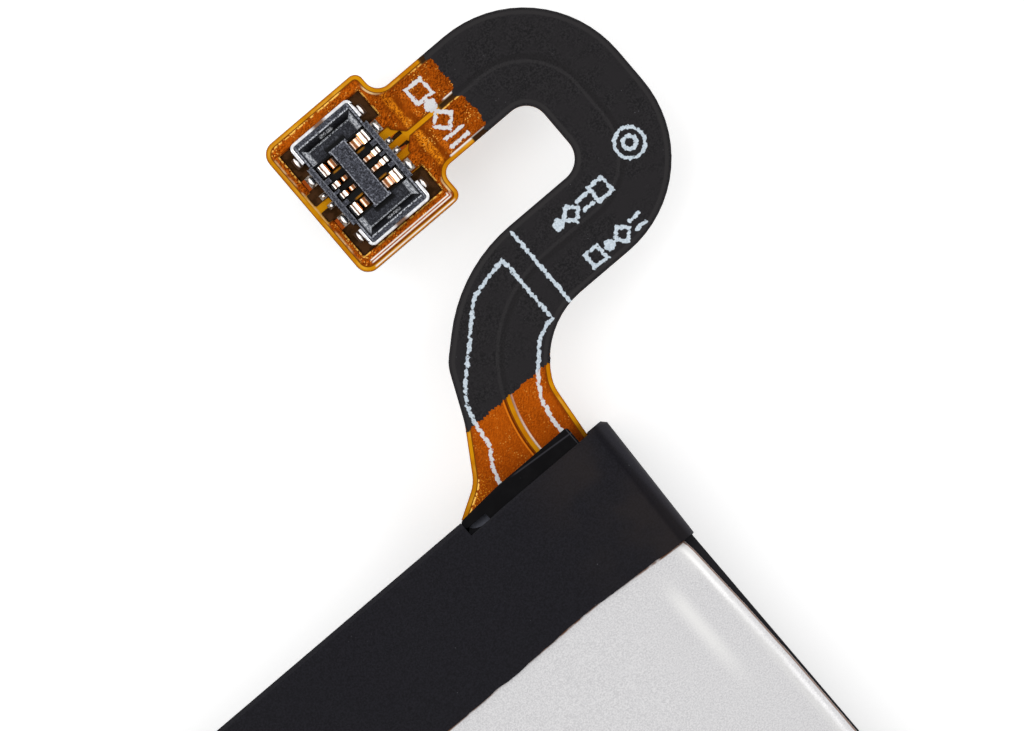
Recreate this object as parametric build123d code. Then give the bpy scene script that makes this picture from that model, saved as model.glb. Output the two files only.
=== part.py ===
from build123d import *
import os

os.makedirs("parts", exist_ok=True)

# Millimetres. Z = 0 is the plane the battery lies on, +Z its front face, +Y towards the flex.

# Body
body_length = 89.4
cell_thickness = 4.5
tape_thickness = 0.08

# Pouch cell
seam_half_width = 21.66
seam_height = 3.22
cup_draw_in = 0.3
cup_draw_length = 8.5
cup_draw_middle = 0.075
cup_edge_radius = 0.5
back_edge_radius = 0.5
cell_corner_radius = 1.6
seam_corner_radius = 0.5
terrace_depth = 2.0
terrace_thickness = 0.3
terrace_margin = 1.66

# Back film
film_end_gap = 1.8
film_head_gap = 0.05
film_ledge_length = 4.6
film_ledge_overlap = 0.5

# Head
head_widening = 0.18
head_depth = 4.83
shoulder_drop = 0.41
head_front_radius = 0.7
head_back_radius = 0.5
head_corner_cut = 0.16
wrap_edge_slant = 0.25
wrap_slant_start = 4.25
wrap_slant_end = 0.65

# The flex is drawn from the head's right corner, this far below the head's top.
corner_drop = 0.73
exit_left = -5.72
exit_right = -0.72
exit_front_edge = 0.2
exit_slant = 0.14

# Circuit holder and the strip over the flex root
holder_clearance = 0.03
holder_plate = 0.45
holder_wall = 0.47
holder_end = 1.2
cell_to_holder = 0.12
strip_back = -0.05
strip_front = 0.88
strip_rise = 0.12
strip_rise_length = 1.7
strip_right_gap = 0.39
strip_bottom = 3.25
strip_thickness = 0.95
strip_radius = 0.12
strip_lip_length = 0.82
strip_lip_front = 0.46
strip_lip_drop = 0.3
flex_side_gap = 0.03

# Circuit board and what it carries
board_left_room = 10.0
board_right_room = 0.3
board_depth = 2.45
board_thickness = 0.6
board_base = 2.2
board_gap = 0.06
chip_size = (1.9, 1.8, 0.6)
transistor_size = (3.0, 2.0, 0.75)
resistor_size = (3.2, 1.6, 0.55)
thermistor_size = (1.0, 0.5, 0.5)
capacitor_size = (1.0, 0.5, 0.5)

# Places along the free part of the board, as shares of its length
resistor_share = 0.085
thermistor_share = 0.235
capacitor_shares = (0.33, 0.395, 0.645, 0.705)
chip_share = 0.55
transistor_share = 0.85

# Cell tabs, placed as shares of the cell's half width
tab_width = 4.0
tab_thickness = 0.1
tab_shares = (-0.3, 0.39)
tab_fold_room = 0.45
tab_lap = 1.3
insulator_thickness = 0.1
insulator_side_margin = 2.0
insulator_margin = 0.15

# Flex layers, from the back to the front
film_thickness = 0.04
copper_thickness = 0.035
base_thickness = 0.06
black_thickness = 0.03
stiffener_thickness = 0.3

# Flex outline
root_end = -2.2
root_narrow = -0.35
root_right = -1.5
root_left = -5.6
root_joint_places = (-5.3, -4.3, -3.1, -2.4)
root_joint_width = 0.55
root_joint_length = 0.28
run_low = 3.93
run_high = 7.04
bend_low_y = 7.85
bend_high_y = 9.07
outer_x = 8.05
inner_x = 4.91
neck_low = 9.82
neck_high = 13.07
pad_left = -2.89
pad_right = 1.18
pad_low = 8.76
pad_high = 14.06
pad_left_radius = 0.47
pad_right_radius = 0.3
neck_low_fillet = 0.4
neck_high_fillet = 0.5

# Curves from the run down to the head, each piece as (radius, turn in degrees) or (length, 0)
left_start = 1.7
left_pieces = ((5.4, 43), (0.75, 0), (1.3, 23), (1.45, 0), (3.0, -8), (1.5, 0), (1.2, -27), (0.95, 0))
right_start = 2.1
right_pieces = ((2.85, 62), (1.3, 22), (1.62, 0))
groove_start = 2.0
groove_pieces = ((4.2, 63), (5.05, 27))

# Conductors and cover films
copper_margin = 0.17
groove_width = 0.2
groove_middle_y = 11.43
signal_field_half = 0.6
signal_field_end = 0.68
signal_field_tip = 1.2
copper_tab_inner = 1.07
track_width = 0.12
inner_lane = 0.1
outer_lane = 0.36
lane_start = 1.4
plug_radius = 0.05
plug_x = 0.8
plug_shift = 0.1
signal_pad_length = 0.45
black_root_y = 2.87
black_neck_x = 3.15
window_left = -2.5
window_right = 0.82
window_low = 9.33
window_high = 13.54
window_radius = 0.15

# Connector socket
socket_x = -0.86
socket_y = 11.46
socket_half_width = 1.255
socket_half_length = 2.01
socket_height = 0.6
solder_thickness = 0.02
rail_thickness = 0.19
rail_half_length = 1.15
rail_height = 0.54
floor_thickness = 0.12
island_half_width = 0.3
island_half_length = 1.16
island_height = 0.45
island_flange = 0.05
island_flange_length = 0.12
end_block_inner = 1.12
end_corner_radius = 0.1
pocket_half_width = 0.82
pocket_length = 0.44
pocket_slope = 28
tooth_reach = 0.2
teeth = ((-0.45, 0.16), (0, 0.1), (0.45, 0.16))
bracket_thickness = 0.1
bracket_leg_inner = 1.38
bracket_rise = 0.03
bracket_lift = 0.03
foot_reach = 0.2
foot_length = 0.39
foot_inner = 1.35
foot_thickness = 0.07

# Spring contacts
power_width = 0.41
power_offset = 0.81
signal_width = 0.19
signal_offset = 0.2
contact_thickness = 0.07
contact_clearance = 0.02
tail_end = 1.5
leg_outer_u = 1.0
leg_middle_u = 0.68
leg_inner_u = 0.37
hump_height = 0.44
tip_height = 0.4

# Worked out from the above
cell_back = tape_thickness
cell_front = cell_back + cell_thickness
seam_top = cell_back + seam_height
terrace_half_width = seam_half_width - terrace_margin
insulator_half_width = terrace_half_width - insulator_side_margin
head_top = body_length / 2
cell_bottom = -body_length / 2
head_low = head_top - head_depth
corner_x = seam_half_width + 2 * tape_thickness + head_widening
corner_y = head_top - corner_drop
head_height = cell_front + tape_thickness
cell_top = head_low + cup_edge_radius + wrap_edge_slant + tape_thickness
film_side_end = cell_top - seam_corner_radius
holder_back = cell_top + cell_to_holder
board_left = -corner_x + board_left_room
board_right = corner_x - holder_end - board_right_room
board_top = board_base + board_thickness
board_low_y = holder_back + board_gap
black_back_z = board_top - black_thickness
back_copper_z = board_top + film_thickness
base_z = back_copper_z + copper_thickness
front_copper_z = base_z + base_thickness
coverlay_z = front_copper_z + copper_thickness
black_front_z = coverlay_z + film_thickness
contact_z = coverlay_z + solder_thickness
stiffener_z = board_top - stiffener_thickness
run_middle = (run_low + run_high) / 2
foot_middle = foot_inner + foot_length / 2
end_half_width = socket_half_width - bracket_thickness - contact_clearance

corner = Pos(corner_x, corner_y, 0)
socket = Pos(corner_x + socket_x, corner_y + socket_y, contact_z)


def block(x0, x1, y0, y1, z0, z1):
    return Pos((x0 + x1) / 2, (y0 + y1) / 2, (z0 + z1) / 2) * Box(x1 - x0, y1 - y0, z1 - z0)


def slab(face, bottom, thickness):
    return extrude(Pos(0, 0, bottom) * face, amount=thickness)


def both_ends(shape):
    return shape + mirror(shape, about=Plane.XZ)


def both_sides(shape):
    return shape + mirror(shape, about=Plane.YZ)


def save(shape, name):
    export_step(shape, f"parts/{name}.step")


# Pouch cell: the seam level is straight, the drawn cup above it pulls in towards its ends.
def cup_outline():
    half = seam_half_width
    drawn = half - cup_draw_in
    lower, upper = cell_bottom + cup_draw_length, cell_top - cup_draw_length
    middle = half - cup_draw_middle
    right = [
        ThreePointArc((drawn, cell_bottom), (middle, (cell_bottom + lower) / 2), (half, lower)),
        Line((half, lower), (half, upper)),
        ThreePointArc((half, upper), (middle, (cell_top + upper) / 2), (drawn, cell_top)),
    ]
    left = [edge.mirror(Plane.YZ) for edge in right]
    ends = [Line((-drawn, y), (drawn, y)) for y in (cell_bottom, cell_top)]
    return make_face(right + left + ends)


def pouch_cell():
    base = block(-seam_half_width, seam_half_width, cell_bottom, cell_top, cell_back, seam_top)
    corners = base.edges().filter_by(Axis.Z).group_by(Axis.Y)
    base = fillet(corners[0], cell_corner_radius)
    base = fillet(base.edges().filter_by(Axis.Z).group_by(Axis.Y)[-1], seam_corner_radius)
    base = fillet(base.faces().sort_by(Axis.Z)[0].edges(), back_edge_radius)
    cup = slab(cup_outline(), seam_top, cell_front - seam_top)
    cup = fillet(cup.edges().filter_by(Axis.Z).sort_by(Axis.Y)[:2], cell_corner_radius)
    cup = fillet(cup.edges().filter_by(Axis.Z).sort_by(Axis.Y)[-2:], cell_corner_radius)
    cup = fillet(cup.faces().sort_by(Axis.Z)[-1].edges(), cup_edge_radius)
    terrace = block(
        -terrace_half_width, terrace_half_width, cell_top - cell_corner_radius, cell_top + terrace_depth,
        cell_back + back_edge_radius, cell_back + back_edge_radius + terrace_thickness,
    )
    return base + cup + terrace


# Back film: one thin sheet over the back, folded up both sides as far as the seam's top.
def back_film():
    inner, outer = seam_half_width, seam_half_width + tape_thickness
    low, high = cell_bottom + film_end_gap, head_low - wrap_edge_slant - film_head_gap
    ledge_top = seam_top + tape_thickness
    film = block(-outer, outer, low, high, 0, ledge_top)
    film = fillet(film.edges().filter_by(Axis.Y).sort_by(Axis.Z)[:2], back_edge_radius + tape_thickness)
    room = block(-inner, inner, low, high, cell_back, ledge_top)
    room = fillet(room.edges().filter_by(Axis.Y).sort_by(Axis.Z)[:2], back_edge_radius)
    side = block(inner, outer, high, film_side_end, back_edge_radius + tape_thickness, ledge_top)
    ledge_low, ledge_inner = high - film_ledge_length, inner - film_ledge_overlap
    ledge = block(ledge_inner, inner, ledge_low, film_side_end, seam_top, ledge_top)
    ledge = ledge - slab(cup_outline(), seam_top, tape_thickness)
    return film - room + both_sides(side + ledge)


# The long edges beyond this x on either side, from the lowest to the highest.
def side_edges(form, x):
    long_ones = form.edges().filter_by(lambda edge: edge.length > head_front_radius)
    return long_ones.filter_by(lambda edge: abs(edge.center().X) > x).sort_by(Axis.Z)


# Head: the wrap tape, the holder and the hollow between them are the same form at different insets.
def head_form(inset, low):
    top, shoulder = head_top - inset, head_top - shoulder_drop - inset
    wide = corner_x - inset
    narrow = wide - head_widening
    step_x = corner_x + exit_left - inset
    outline = Polyline(
        (-narrow, low), (-wide, top), (step_x, top),
        (step_x, shoulder), (wide, shoulder), (narrow, low), close=True,
    )
    form = slab(make_face(outline), inset, head_height - 2 * inset)
    form = fillet(side_edges(form, narrow - inset)[:2], head_back_radius - inset)
    form = fillet(side_edges(form, narrow - head_front_radius)[-2:], head_front_radius - inset)
    upright = form.edges().filter_by(Axis.Z).filter_by(lambda edge: abs(edge.center().X) > narrow)
    return chamfer(upright.filter_by(lambda edge: edge.center().Y > head_low), head_corner_cut - inset)


def exit_cut():
    notch = Polyline(
        (exit_left, exit_front_edge), (exit_right, exit_front_edge + exit_slant),
        (exit_right, strip_front), (exit_left, strip_front), close=True,
    )
    way = block(exit_left, exit_right, 0, strip_front, black_back_z, cell_front)
    return corner * (slab(make_face(notch), black_back_z, head_height) + way)


def head_wrap_tape():
    low = head_low - wrap_edge_slant
    tape = head_form(0, low) - head_form(tape_thickness, low - tape_thickness)
    trim = Polyline(
        (-corner_x, head_low), (corner_x - wrap_slant_start, head_low), (corner_x - wrap_slant_end, low),
        (corner_x - wrap_slant_end, low - tape_thickness), (-corner_x, low - tape_thickness), close=True,
    )
    return tape - exit_cut() - slab(make_face(trim), 0, head_height)


def pcm_holder():
    inset = tape_thickness + holder_clearance
    body = head_form(inset, holder_back)
    hollow_end, hollow_top = corner_x - holder_end, head_top - shoulder_drop - inset - holder_wall
    hollow = block(
        -hollow_end, hollow_end, holder_back, hollow_top, 0, head_height - inset - holder_plate,
    )
    seat = block(exit_left, exit_right, strip_back, strip_front, strip_bottom, head_height)
    slot = block(exit_left, exit_right, strip_back - holder_wall, strip_front, black_back_z, strip_bottom)
    ends = block(
        -corner_x, corner_x, holder_back, cell_top + terrace_depth + tab_fold_room, 0,
        cell_back + back_edge_radius + terrace_thickness + insulator_thickness,
    )
    return body - hollow - corner * (seat + slot) - ends


def flex_exit_strip():
    left, right = exit_left, exit_right - strip_right_gap
    outline = Polyline(
        (left, strip_back), (left, strip_front - strip_rise), (left + strip_rise_length, strip_front),
        (right, strip_front), (right, strip_back), close=True,
    )
    strip = slab(make_face(outline), strip_bottom, strip_thickness)
    strip = fillet(strip.edges().filter_by(Axis.Z).sort_by(Axis.Y)[-3:], strip_radius)
    top = strip_bottom + strip_thickness
    lip = block(left, left + strip_lip_length, strip_back, strip_lip_front, top - strip_lip_drop, top)
    return corner * (strip - lip)


def terrace_insulator():
    z = cell_back + back_edge_radius + terrace_thickness
    return block(
        -insulator_half_width, insulator_half_width, cell_top + insulator_margin, cell_top + terrace_depth,
        z, z + insulator_thickness,
    )


# Cell tabs: out of the terrace's end, up, and back under the board.
def cell_tab(x):
    low = cell_top + terrace_depth
    middle = cell_back + back_edge_radius + terrace_thickness / 2
    far = low + tab_fold_room - tab_thickness
    half = tab_width / 2
    foot = block(x - half, x + half, low, far, middle - tab_thickness / 2, middle + tab_thickness / 2)
    rise = block(x - half, x + half, far, far + tab_thickness, middle - tab_thickness / 2, board_base)
    lap = block(x - half, x + half, far - tab_lap, far, board_base - tab_thickness, board_base)
    return foot + rise + lap


# Circuit board with its components
def pcm_board():
    return block(board_left, board_right, board_low_y, board_low_y + board_depth, board_base, board_top)


def on_board(share, size):
    x = board_left + share * (corner_x + root_left - board_left)
    return Pos(x, board_low_y + board_depth / 2, board_top + size[2] / 2) * Box(*size)


# A run of tangent arcs and straights that starts towards -X, moved to its left by the inset.
def curve(x, y, pieces, inset=0):
    point, heading, edges = Vector(x, y - inset), Vector(-1, 0), []
    for size, turn in pieces:
        if turn:
            edges.append(JernArc(point, heading, size - inset if turn > 0 else size + inset, turn))
        else:
            edges.append(Line(point, point + heading * size))
        point, heading = edges[-1] @ 1, edges[-1] % 1
    return edges


# Flex outline, which the conductors follow at an inset.
def flex_outline(inset=0):
    low, high = run_low + inset, run_high - inset
    inner, outer = inner_x + inset, outer_x - inset
    neck_bottom, neck_top = neck_low + inset, neck_high - inset
    left, right, bottom, top = pad_left + inset, pad_right - inset, pad_low + inset, pad_high - inset
    left_round, right_round = pad_left_radius - inset, pad_right_radius - inset
    low_fillet, high_fillet = neck_low_fillet + inset, neck_high_fillet + inset
    left_edges = curve(left_start, run_high, left_pieces, inset)
    right_edges = curve(right_start, run_low, right_pieces, -inset)
    left_end, right_end = left_edges[-1] @ 1, right_edges[-1] @ 1
    tail_right = exit_right - flex_side_gap - inset
    inner_low, inner_high = bend_low_y - high, neck_bottom - bend_high_y
    outer_low, outer_high = bend_low_y - low, neck_top - bend_high_y
    edges = [
        Line((left_start, high), (inner - inner_low, high)),
        CenterArc((inner - inner_low, bend_low_y), inner_low, -90, 90),
        Line((inner, bend_low_y), (inner, bend_high_y)),
        CenterArc((inner - inner_high, bend_high_y), inner_high, 0, 90),
        Line((inner - inner_high, neck_bottom), (right + low_fillet, neck_bottom)),
        CenterArc((right + low_fillet, neck_bottom - low_fillet), low_fillet, 90, 90),
        Line((right, neck_bottom - low_fillet), (right, bottom + right_round)),
        CenterArc((right - right_round, bottom + right_round), right_round, 0, -90),
        Line((right - right_round, bottom), (left + left_round, bottom)),
        CenterArc((left + left_round, bottom + left_round), left_round, -90, -90),
        Line((left, bottom + left_round), (left, top - left_round)),
        CenterArc((left + left_round, top - left_round), left_round, 180, -90),
        Line((left + left_round, top), (right - right_round, top)),
        CenterArc((right - right_round, top - right_round), right_round, 90, -90),
        Line((right, top - right_round), (right, neck_top + high_fillet)),
        CenterArc((right + high_fillet, neck_top + high_fillet), high_fillet, 180, 90),
        Line((right + high_fillet, neck_top), (outer - outer_high, neck_top)),
        CenterArc((outer - outer_high, bend_high_y), outer_high, 90, -90),
        Line((outer, bend_high_y), (outer, bend_low_y)),
        CenterArc((outer - outer_low, bend_low_y), outer_low, 0, -90),
        Line((outer - outer_low, low), (right_start, low)),
    ]
    tail = Polyline(
        right_end, (tail_right, root_narrow - inset), (root_right - inset, root_narrow - inset),
        (root_right - inset, root_end), (root_left + inset, root_end),
        (root_left + inset, left_end.Y), left_end,
    )
    return make_face(left_edges + right_edges + edges + tail.edges())


# Middle line of the flex: neck, two bends, run and the curve down to the root.
def middle_line(start_x):
    middle_x = (inner_x + outer_x) / 2
    low_radius, high_radius = bend_low_y - run_middle, groove_middle_y - bend_high_y
    run_end = middle_x - low_radius
    root = curve(groove_start, run_middle, groove_pieces)
    end = root[-1] @ 1
    return [
        Line((start_x, groove_middle_y), (middle_x - high_radius, groove_middle_y)),
        CenterArc((middle_x - high_radius, bend_high_y), high_radius, 90, -90),
        Line((middle_x, bend_high_y), (middle_x, bend_low_y)),
        CenterArc((run_end, bend_low_y), low_radius, 0, -90),
        Line((run_end, run_middle), (groove_start, run_middle)),
        *root,
        Line(end, (end.X, root_end)),
    ]


def rectangle(x0, x1, y0, y1, radius=0):
    shape = RectangleRounded(x1 - x0, y1 - y0, radius) if radius else Rectangle(x1 - x0, y1 - y0)
    return Pos((x0 + x1) / 2, (y0 + y1) / 2) * shape


# The copper is cut away in the window, but for a tab under each wide contact's tail, and round the signals.
def copper_opening():
    opening = rectangle(window_left, window_right, window_low, window_high)
    for side in (-1, 1):
        y = socket_y + side * power_offset
        opening = opening - rectangle(window_left, window_right, y - power_width / 2, y + power_width / 2)
    tab_left, tab_right = socket_x - copper_tab_inner, socket_x + copper_tab_inner
    return opening + rectangle(tab_left, tab_right, window_low, window_high)


def signal_field():
    half, tip = signal_field_half, groove_width / 2
    outline = Polyline(
        (pad_left, -half), (signal_field_end, -half), (signal_field_tip, -tip), (signal_field_tip, tip),
        (signal_field_end, half), (pad_left, half), close=True,
    )
    return Pos(0, groove_middle_y) * make_face(outline)


def copper_bands():
    bands = flex_outline(copper_margin) - trace(middle_line(pad_left), line_width=groove_width)
    bands = bands - signal_field() - copper_opening()
    return bands.faces().sort_by(SortBy.AREA)[-2:]


# Signal tracks: a pad on the front, a plug through the base film and a strip along the back.
def lane(side, distance):
    line = middle_line(lane_start)
    inside, outside = 2 * distance - track_width, 2 * distance + track_width
    pair = trace(line, line_width=outside) - trace(line, line_width=inside)
    start = Vertex(lane_start, groove_middle_y + side * distance, 0)
    return min(pair.faces(), key=lambda face: face.distance_to(start))


def signal_track(side, row):
    pad_x, pad_y = socket_x + row * (tail_end - signal_pad_length / 2), socket_y + side * signal_offset
    pad = Pos(pad_x, pad_y) * Rectangle(signal_pad_length, signal_width)
    if row < 0:
        distance, plug_at = inner_lane, (pad_x, pad_y)
        route = [plug_at, (pad_x + signal_pad_length, groove_middle_y + side * distance)]
    else:
        distance, plug_at = outer_lane, (plug_x, pad_y + side * plug_shift)
        route = [plug_at]
        pad = pad + trace(Line((pad_x, pad_y), plug_at), line_width=track_width)
    route.append((lane_start, groove_middle_y + side * distance))
    back = lane(side, distance) + trace(Polyline(*route), line_width=track_width)
    end = Pos(*plug_at) * Rectangle(track_width, track_width)
    plug = slab(Pos(*plug_at) * Circle(plug_radius), back_copper_z, coverlay_z - back_copper_z)
    front = slab(pad + end, front_copper_z, copper_thickness)
    return corner * (front + slab(back + end, back_copper_z, copper_thickness) + plug)


def signal_tracks():
    return [signal_track(side, row) for side in (-1, 1) for row in (-1, 1)]


def save_flex(tracks):
    outline = flex_outline()
    for name, face in zip(("copper_power_inner", "copper_power_outer"), copper_bands()):
        save(corner * slab(face, front_copper_z, copper_thickness), name)
    save(corner * slab(outline, base_z, base_thickness) - tracks, "flex_base_film")
    save(corner * slab(outline, board_top, film_thickness), "flex_back_coverlay")
    inside = rectangle(root_left, root_right, root_end, strip_back)
    cut = rectangle(window_left, window_right, window_low, window_high, window_radius)
    save(corner * slab(outline - inside - cut, coverlay_z, film_thickness), "flex_coverlay")
    bare_root = rectangle(root_left, outer_x, root_end, black_root_y)
    black = outline - bare_root - rectangle(pad_left, black_neck_x, pad_low, pad_high)
    save(corner * slab(black, black_front_z, black_thickness), "flex_black_front")
    save(corner * slab(black, black_back_z, black_thickness), "flex_black_back")
    pad = rectangle(pad_left, pad_right, pad_low, pad_high, pad_left_radius)
    save(corner * slab(pad, stiffener_z, stiffener_thickness), "connector_stiffener")


# Connector socket: a floor with rails, end blocks with sloping pockets and an island in the moat.
def contact_places():
    for side in (1, -1):
        yield "power", side * power_offset, power_width
        yield "signal", side * signal_offset, signal_width


def end_block():
    solid = block(-end_half_width, end_half_width, end_block_inner, socket_half_length, 0, socket_height)
    solid = fillet(solid.edges().filter_by(Axis.Z).sort_by(Axis.Y)[-2:], end_corner_radius)
    pocket_end, depth = end_block_inner + pocket_length, socket_height - floor_thickness
    pocket = rectangle(-pocket_half_width, pocket_half_width, end_block_inner, pocket_end)
    return solid - extrude(Pos(0, 0, floor_thickness) * pocket, amount=depth, taper=-pocket_slope)


def connector_housing():
    rail_inner = socket_half_width - rail_thickness
    floor = block(-rail_inner, rail_inner, -end_block_inner, end_block_inner, 0, floor_thickness)
    rail = block(rail_inner, socket_half_width, -rail_half_length, rail_half_length, 0, rail_height)
    for middle, length in teeth:
        low, high = middle - length / 2, middle + length / 2
        rail = rail + block(rail_inner - tooth_reach, rail_inner, low, high, 0, rail_height)
    half, end = island_half_width, island_half_length
    island = block(-half, half, -end, end, 0, island_height)
    wide = half + island_flange
    flange = block(-wide, wide, end - island_flange_length, end, 0, island_height)
    body = floor + both_sides(rail) + island + both_ends(flange) + both_ends(end_block())
    for _, v, width in contact_places():
        room = width / 2 + contact_clearance
        slot = block(half, socket_half_width, v - room, v + room, 0, floor_thickness)
        body = body - both_sides(slot)
    return socket * body


def contact_profile():
    middle = contact_thickness / 2
    arch = (leg_outer_u - leg_middle_u) / 2
    spring = hump_height - arch
    line = [
        Polyline((tail_end, middle), (leg_outer_u, middle), (leg_outer_u, spring)),
        CenterArc((leg_outer_u - arch, spring), arch, 0, 180),
        Polyline(
            (leg_middle_u, spring), (leg_middle_u, middle), (leg_inner_u, middle), (leg_inner_u, tip_height)
        ),
    ]
    return trace(line, line_width=contact_thickness)


def save_contacts():
    counts = {"power": 0, "signal": 0}
    for kind, v, width in contact_places():
        contact = Pos(0, v, 0) * extrude(Rot(90, 0, 0) * contact_profile(), amount=width / 2, both=True)
        for placed in (contact, mirror(contact, about=Plane.YZ)):
            counts[kind] += 1
            save(socket * placed, f"{kind}_contact_{counts[kind]}")


def bracket():
    half, length = socket_half_width, socket_half_length
    inner, top = half - bracket_thickness, socket_height + bracket_rise
    shell = block(-half, half, bracket_leg_inner, length + bracket_thickness, bracket_lift, top)
    room = block(-inner, inner, bracket_leg_inner, length, bracket_lift, top)
    foot = block(inner, half + foot_reach, foot_inner, foot_inner + foot_length, 0, foot_thickness)
    strap = shell - room
    outside = strap.edges().filter_by(Axis.Z).group_by(Axis.Y)[-1]
    strap = fillet(outside, end_corner_radius + bracket_thickness)
    inside = strap.edges().filter_by(Axis.Z).filter_by(lambda edge: edge.center().Y == length)
    return fillet(inside, end_corner_radius) + both_sides(foot)


def solder_joints():
    joints, base_film = [], front_copper_z - contact_z
    for _, v, width in contact_places():
        joints += [block(socket_half_width, tail_end, v - width / 2, v + width / 2, -solder_thickness, 0)]
    for v in (foot_middle, -foot_middle):
        low, high = v - foot_length / 2, v + foot_length / 2
        joints += [block(socket_half_width, socket_half_width + foot_reach, low, high, base_film, 0)]
    return socket * Compound(joints + [mirror(joint, about=Plane.YZ) for joint in joints])


def root_solder_joints():
    return corner * Compound([
        block(x, x + root_joint_width, root_end - root_joint_length, root_end, board_top, coverlay_z)
        for x in root_joint_places
    ])


save(pouch_cell(), "pouch_cell")
save(back_film(), "back_film")
save(head_wrap_tape(), "head_wrap_tape")
save(pcm_holder(), "pcm_holder")
save(flex_exit_strip(), "flex_exit_strip")
save(terrace_insulator(), "terrace_insulator")
for name, share in zip(("positive_tab", "negative_tab"), tab_shares):
    save(cell_tab(share * seam_half_width), name)
save(pcm_board(), "pcm_board")
save(on_board(chip_share, chip_size), "protection_ic")
save(on_board(transistor_share, transistor_size), "mosfet_pair")
save(on_board(resistor_share, resistor_size), "sense_resistor")
save(on_board(thermistor_share, thermistor_size), "thermistor")
save(Compound([on_board(share, capacitor_size) for share in capacitor_shares]), "ceramic_capacitors")
save(root_solder_joints(), "root_solder_joints")
tracks = signal_tracks()
save(Compound(tracks), "copper_signal_tracks")
save_flex(tracks)
save(connector_housing(), "connector_housing")
save_contacts()
save(socket * bracket(), "hold_down_upper")
save(socket * mirror(bracket(), about=Plane.XZ), "hold_down_lower")
save(solder_joints(), "connector_solder_joints")
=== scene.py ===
import math

import bmesh
import bpy
import numpy as np
from mathutils import Matrix, Vector, kdtree


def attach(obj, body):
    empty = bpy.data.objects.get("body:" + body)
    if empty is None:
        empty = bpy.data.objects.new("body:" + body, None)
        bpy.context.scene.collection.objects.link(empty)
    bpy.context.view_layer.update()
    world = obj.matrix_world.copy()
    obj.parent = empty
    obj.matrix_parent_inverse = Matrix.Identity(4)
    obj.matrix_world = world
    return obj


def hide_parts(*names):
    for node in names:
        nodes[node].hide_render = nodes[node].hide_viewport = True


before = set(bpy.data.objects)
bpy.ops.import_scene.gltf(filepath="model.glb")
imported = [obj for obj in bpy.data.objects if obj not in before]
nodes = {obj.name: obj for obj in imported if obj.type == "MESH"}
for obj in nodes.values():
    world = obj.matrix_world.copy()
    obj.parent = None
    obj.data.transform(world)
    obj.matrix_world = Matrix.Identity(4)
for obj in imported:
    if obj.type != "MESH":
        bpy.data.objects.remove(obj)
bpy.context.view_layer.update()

# The flex and the head were measured in mm from the head's right corner, this far from the row's origin.
cornerX, cornerY = 22.0, 43.97


# Small helpers
def smooth(value, low, high):
    t = np.clip((value - low) / (high - low), 0.0, 1.0)
    return t * t * (3.0 - 2.0 * t)


def insideBox(points, left, right, low, high):
    # distance to the box's nearest side, positive inside
    dx = np.minimum(points[:, 0] - left, right - points[:, 0])
    dy = np.minimum(points[:, 1] - low, high - points[:, 1])
    return np.minimum(dx, dy)


def insideBoxes(points, boxes):
    return np.max([insideBox(points, *box) for box in boxes], axis=0)


def addObject(name, data):
    made = bpy.data.objects.new(name, data)
    bpy.context.scene.collection.objects.link(made)
    return made


def addMesh(name, bm, material):
    mesh = bpy.data.meshes.new(name)
    bm.to_mesh(mesh)
    bm.free()
    mesh.materials.append(material)
    return addObject(name, mesh)


def addPiece(name, bm, material, replaced, sharpAngle=40):
    bmesh.ops.scale(bm, vec=(0.001, 0.001, 0.001), verts=bm.verts)  # from millimetres to metres
    for edge in bm.edges:
        edge.smooth = edge.calc_face_angle(0.0) < math.radians(sharpAngle)
    piece = addMesh(name, bm, material)
    for polygon in piece.data.polygons:
        polygon.use_smooth = True
    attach(piece, "root")
    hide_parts(*replaced)
    return piece


def fromNode(name):
    bm = bmesh.new()
    bm.from_mesh(nodes[name].data)
    bmesh.ops.scale(bm, vec=(1000, 1000, 1000), verts=bm.verts)  # work in millimetres
    bmesh.ops.remove_doubles(bm, verts=bm.verts, dist=0.0005)
    return bm


def shift(bm, way):
    # from the head's corner to the row's origin with 1, and back with -1
    bmesh.ops.translate(bm, verts=bm.verts, vec=(way * cornerX, way * cornerY, 0))


def soften(piece, width):
    bevel = piece.modifiers.new("softEdges", "BEVEL")
    bevel.width, bevel.segments, bevel.limit_method = width / 1000, 2, "ANGLE"
    bevel.angle_limit = math.radians(30)


def cutAcross(bm, axis, planes):
    # cuts run from low to high, and each looks only at what lies beyond the one before
    normal = [0, 0, 0]
    normal[axis] = 1
    rest = list(bm.faces)
    for plane in planes:
        edges = {edge for face in rest for edge in face.edges}
        verts = {vertex for face in rest for vertex in face.verts}
        cut = bmesh.ops.bisect_plane(bm, geom=list(verts) + list(edges) + rest, dist=1e-5,
                                     plane_co=[plane * part for part in normal], plane_no=normal)
        rest = [part for part in cut["geom"] if isinstance(part, bmesh.types.BMFace)
                and max(vertex.co[axis] for vertex in part.verts) > plane + 1e-4]


def cutGrid(bm, step, extraX=(), extraY=()):
    for axis, extra in ((0, extraX), (1, extraY)):
        low = min(vertex.co[axis] for vertex in bm.verts)
        high = max(vertex.co[axis] for vertex in bm.verts)
        steps = list(np.arange(low + step, high - step / 3, step))
        cutAcross(bm, axis, sorted(steps + [place for place in extra if low < place < high]))


# Materials
def srgb(*tone):
    # a tone with parts from 0 to 255, as linear light
    shares = [part / 255 for part in tone]
    return tuple(share / 12.92 if share <= 0.04045 else ((share + 0.055) / 1.055) ** 2.4 for share in shares)


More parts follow.
